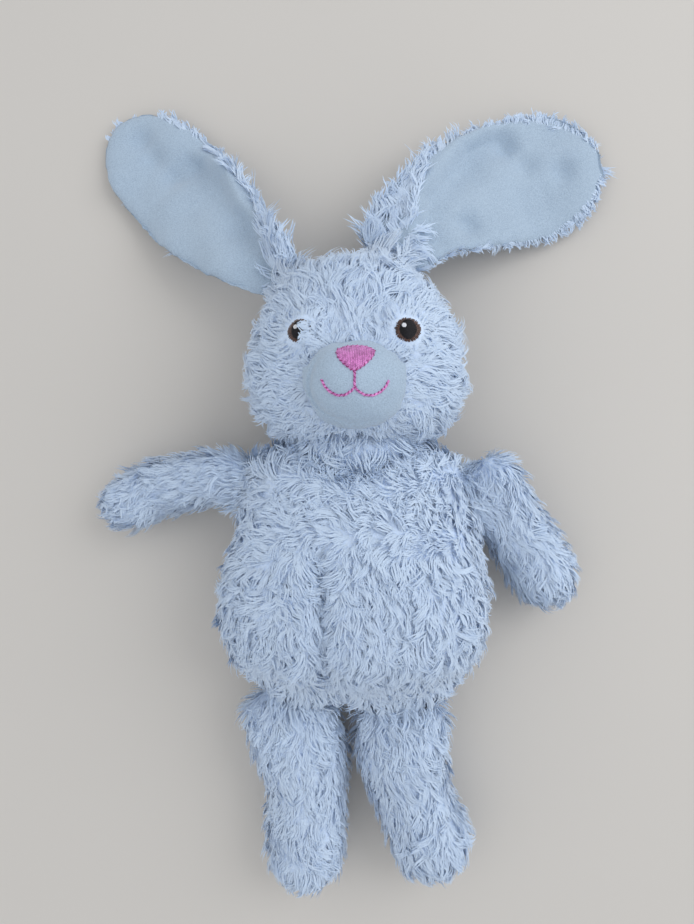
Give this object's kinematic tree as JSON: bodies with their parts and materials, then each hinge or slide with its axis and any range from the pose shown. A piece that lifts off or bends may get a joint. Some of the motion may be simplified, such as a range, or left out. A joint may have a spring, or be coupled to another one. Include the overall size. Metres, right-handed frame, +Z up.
{
  "type": "stuffed bunny rabbit",
  "caption": "Soft stuffed rabbit lying on its back, with long-pile fur panels over stuffing, a smooth muzzle, embroidered face, and a head, ears, arms and legs that fold at their seams.",
  "frame": {"origin": "on the flat patch under the body's back, where the toy rests on the floor", "axes": "+Z up from the floor, towards the belly and face; +Y from the feet to the head; +X towards the toy's own left side"},
  "size_m": [0.2392, 0.3719, 0.085],
  "materials": {
    "white_fur": "long-pile plush",
    "fibrefill": "loose polyester fibre",
    "cream_velour": "short-pile velour",
    "pink_thread": "satin stitch",
    "rose_thread": "back stitch",
    "brown_thread": "satin stitch",
    "black_thread": "satin stitch",
    "white_thread": "satin stitch"
  },
  "bodies": {
    "body": {"body_front_panel": "white_fur", "body_back_panel": "white_fur", "body_stuffing": "fibrefill", "neck_wad": "fibrefill", "tail": "white_fur"},
    "head": {"head_front_panel": "white_fur", "head_back_panel": "white_fur", "head_stuffing": "fibrefill", "muzzle_panel": "cream_velour", "muzzle_stuffing": "fibrefill", "nose_fill": "pink_thread", "nose_edge_stitch": "rose_thread", "smile_stitch": "rose_thread", "philtrum_stitch": "rose_thread", "left_eye_iris": "brown_thread", "left_eye_pupil": "black_thread", "left_eye_highlight": "white_thread", "right_eye_iris": "brown_thread", "right_eye_pupil": "black_thread", "right_eye_highlight": "white_thread"},
    "left_arm": {"left_arm_front_panel": "white_fur", "left_arm_back_panel": "white_fur", "left_arm_stuffing": "fibrefill"},
    "left_leg": {"left_leg_front_panel": "white_fur", "left_leg_back_panel": "white_fur", "left_leg_stuffing": "fibrefill"},
    "left_ear": {"left_ear_fur_panel": "white_fur", "left_ear_lining": "cream_velour"},
    "right_arm": {"right_arm_front_panel": "white_fur", "right_arm_back_panel": "white_fur", "right_arm_stuffing": "fibrefill"},
    "right_leg": {"right_leg_front_panel": "white_fur", "right_leg_back_panel": "white_fur", "right_leg_stuffing": "fibrefill"},
    "right_ear": {"right_ear_fur_panel": "white_fur", "right_ear_lining": "cream_velour"}
  },
  "joints": [
    {"name": "neck_nod", "type": "hinge", "parent": "body", "child": "head", "pos_m": [0, 0.0605, 0.04], "axis": [1, 0, 0], "range_deg": [0, 35]},
    {"name": "left_arm_lift", "type": "hinge", "parent": "body", "child": "left_arm", "pos_m": [0.061, 0.047, 0.027], "axis": [-0.8944, -0.4472, 0], "range_deg": [0, 85]},
    {"name": "right_arm_lift", "type": "hinge", "parent": "body", "child": "right_arm", "pos_m": [-0.0581, 0.0469, 0.027], "axis": [-0.2837, 0.9589, 0], "range_deg": [0, 85]},
    {"name": "left_leg_fold", "type": "hinge", "parent": "body", "child": "left_leg", "pos_m": [0.021, -0.0698, 0.022], "axis": [-1, 0, 0], "range_deg": [0, 75]},
    {"name": "right_leg_fold", "type": "hinge", "parent": "body", "child": "right_leg", "pos_m": [-0.0295, -0.069, 0.022], "axis": [-1, 0, 0], "range_deg": [0, 75]},
    {"name": "left_ear_flop", "type": "hinge", "parent": "head", "child": "left_ear", "pos_m": [0.0164, 0.1472, 0.033], "axis": [0.8089, -0.5879, 0], "range_deg": [0, 90]},
    {"name": "right_ear_flop", "type": "hinge", "parent": "head", "child": "right_ear", "pos_m": [-0.0345, 0.1375, 0.033], "axis": [0.695, 0.719, 0], "range_deg": [0, 90]}
  ]
}
